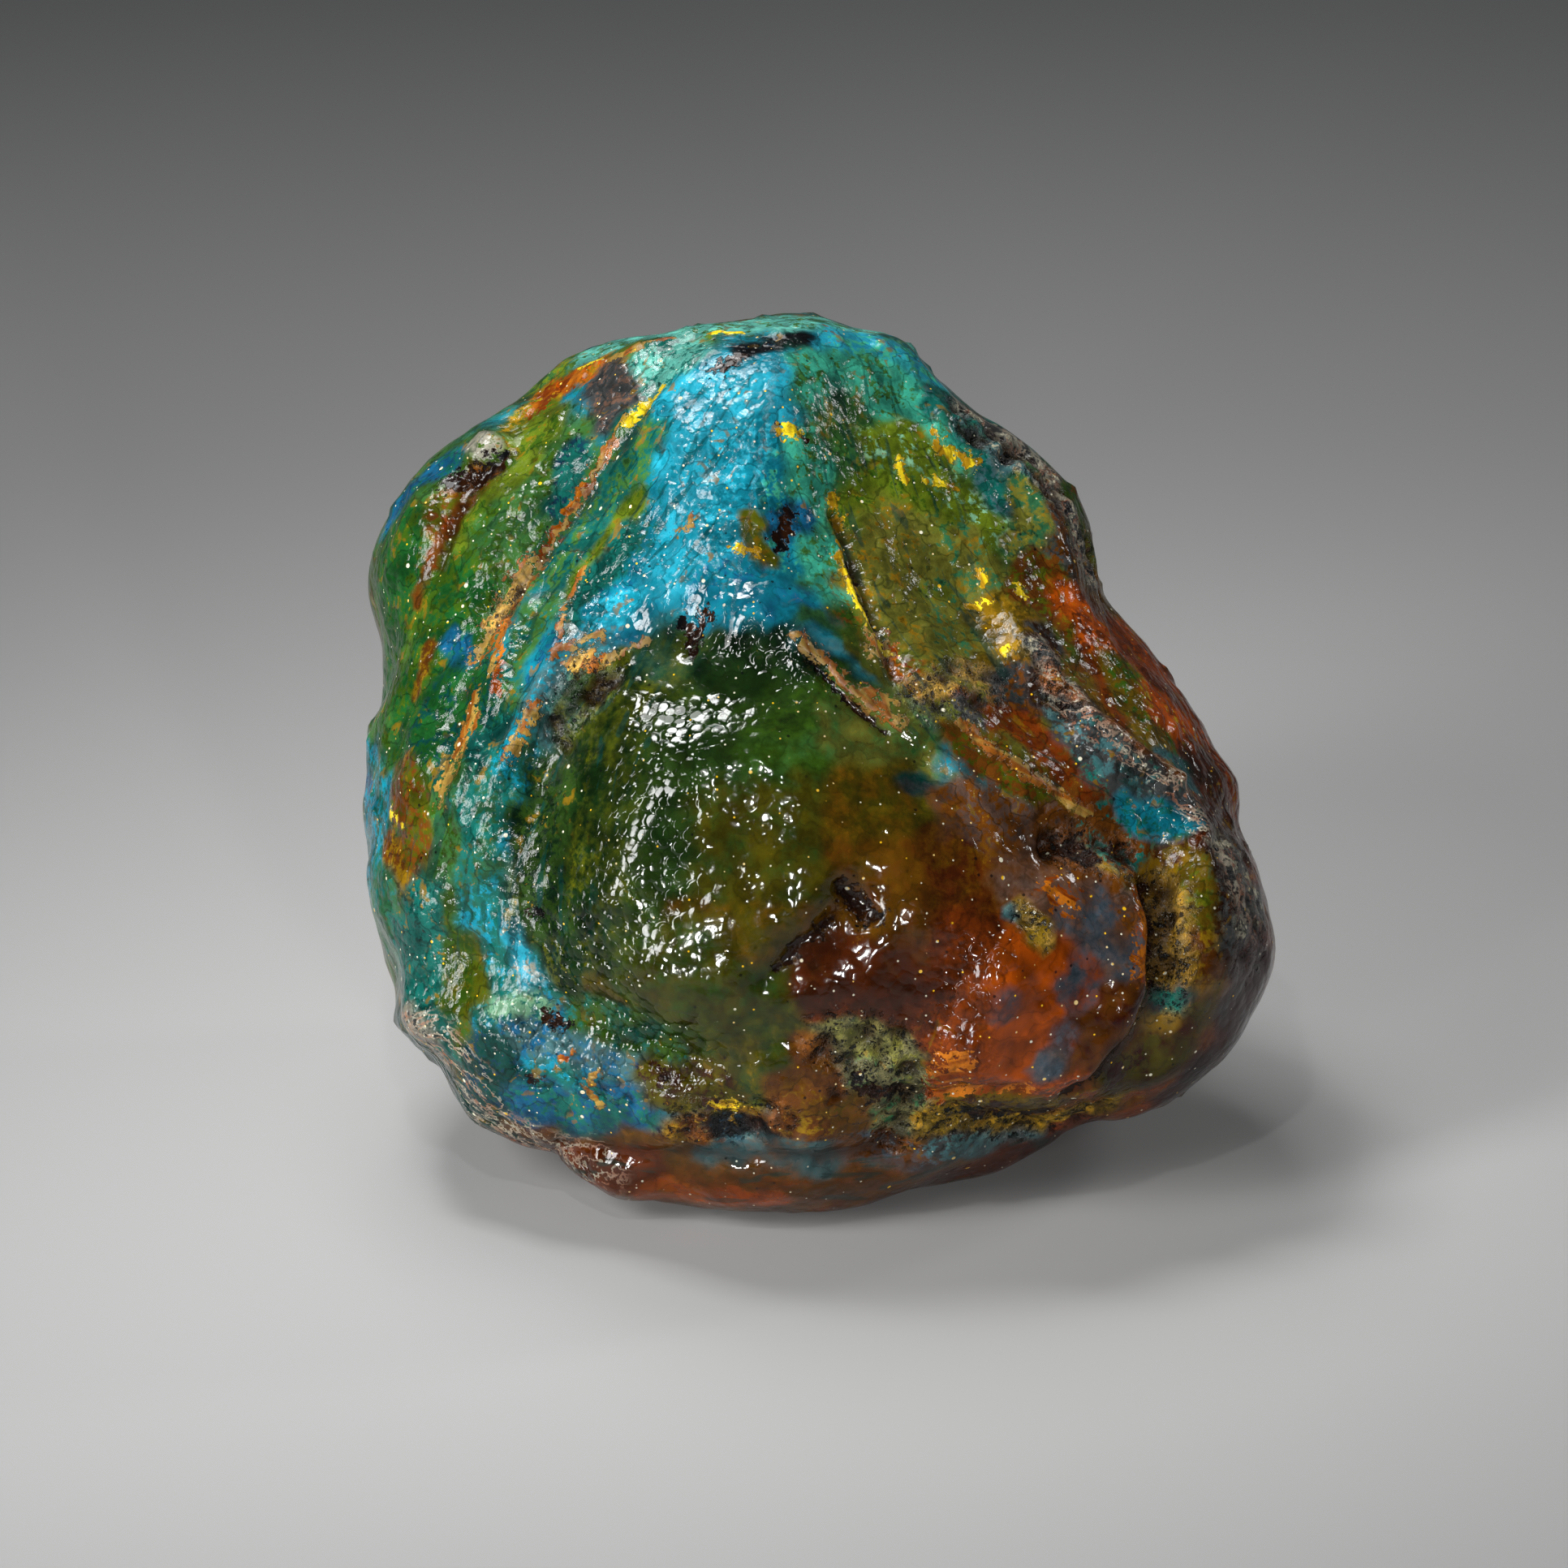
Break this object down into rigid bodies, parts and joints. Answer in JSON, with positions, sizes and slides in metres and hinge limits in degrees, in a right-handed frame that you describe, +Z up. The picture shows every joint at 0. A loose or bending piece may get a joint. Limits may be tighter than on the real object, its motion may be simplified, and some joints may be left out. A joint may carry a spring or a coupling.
{
  "type": "rough blue amber nodule",
  "caption": "Rough nodule of blue amber with a smooth domed front, weathered crust and veins, lying on a worn flat.",
  "frame": {"origin": "on the surface the nodule rests on, under the middle of its box", "axes": "+X along its longest side, to the right of someone facing its domed front; -Y out of the domed front; +Z up"},
  "size_m": [0.058, 0.0456, 0.0501],
  "materials": {
    "amber": "wet gloss, see-through in part"
  },
  "bodies": {
    "root": {"amber_nodule": "amber"}
  },
  "joints": []
}
